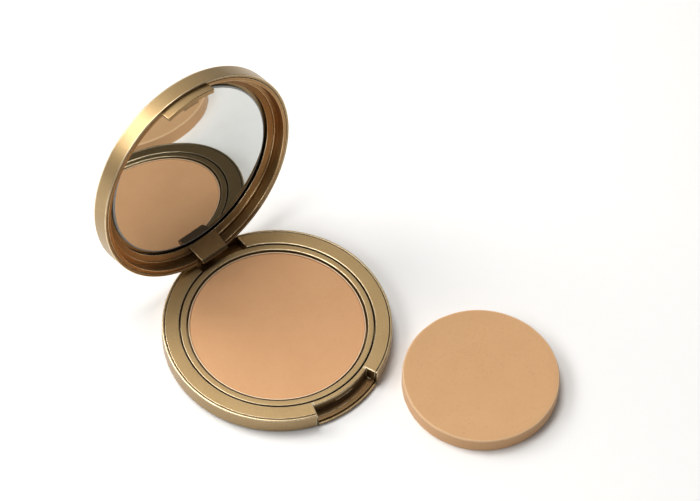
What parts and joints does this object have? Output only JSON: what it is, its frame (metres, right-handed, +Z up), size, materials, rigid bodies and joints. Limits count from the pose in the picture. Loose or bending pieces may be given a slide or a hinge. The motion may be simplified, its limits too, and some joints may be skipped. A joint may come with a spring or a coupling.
{
  "type": "powder compact",
  "caption": "Round hinged powder compact with a mirror in the lid, pressed powder in a lift-out pan, a finger notch and a loose foam sponge.",
  "frame": {"origin": "centre of the base's underside, on the table", "axes": "+Z up; -Y towards the finger notch at the front; +Y towards the hinge at the back; X along the hinge pin"},
  "size_m": [0.1036, 0.1377, 0.0832],
  "materials": {
    "satin_gold": "satin antique gold metallised lacquer over moulded plastic",
    "inner_gold": "same lacquer, a warmer tone on the lid's inner frame",
    "pin_steel": "drawn steel wire",
    "magnet": "dark sintered magnet",
    "label_paper": "blank coated paper label",
    "tinplate": "pressed tinplate pan, bright rim",
    "pressed_powder": "matte pressed powder, warm beige",
    "mirror_silver": "silvered glass with a bevelled edge",
    "adhesive": "double-sided foam tape",
    "sponge_foam": "fine latex foam, matte"
  },
  "bodies": {
    "base": {"base_shell": "satin_gold", "deck_collar": "satin_gold", "pan_well": "satin_gold", "pan_magnet": "magnet", "hinge_pin": "pin_steel", "base_label": "label_paper"},
    "pan": {"powder_pan": "tinplate", "powder_cake": "pressed_powder"},
    "lid": {"lid_shell": "satin_gold", "lid_frame": "inner_gold", "mirror": "mirror_silver", "mirror_pad": "adhesive"},
    "puff": {"sponge": "sponge_foam"}
  },
  "joints": [
    {"name": "lid_hinge", "type": "hinge", "parent": "base", "child": "lid", "pos_m": [0, 0.0364, 0.0095], "axis": [1, 0, 0], "range_deg": [0, 101]},
    {"name": "pan_lift", "type": "slide", "parent": "base", "child": "pan", "axis": [0, 0, 1], "range_m": [0, 0.04]},
    {"name": "sponge_lift", "type": "slide", "parent": "base", "child": "puff", "axis": [0, 0, 1], "range_m": [0, 0.04]}
  ]
}
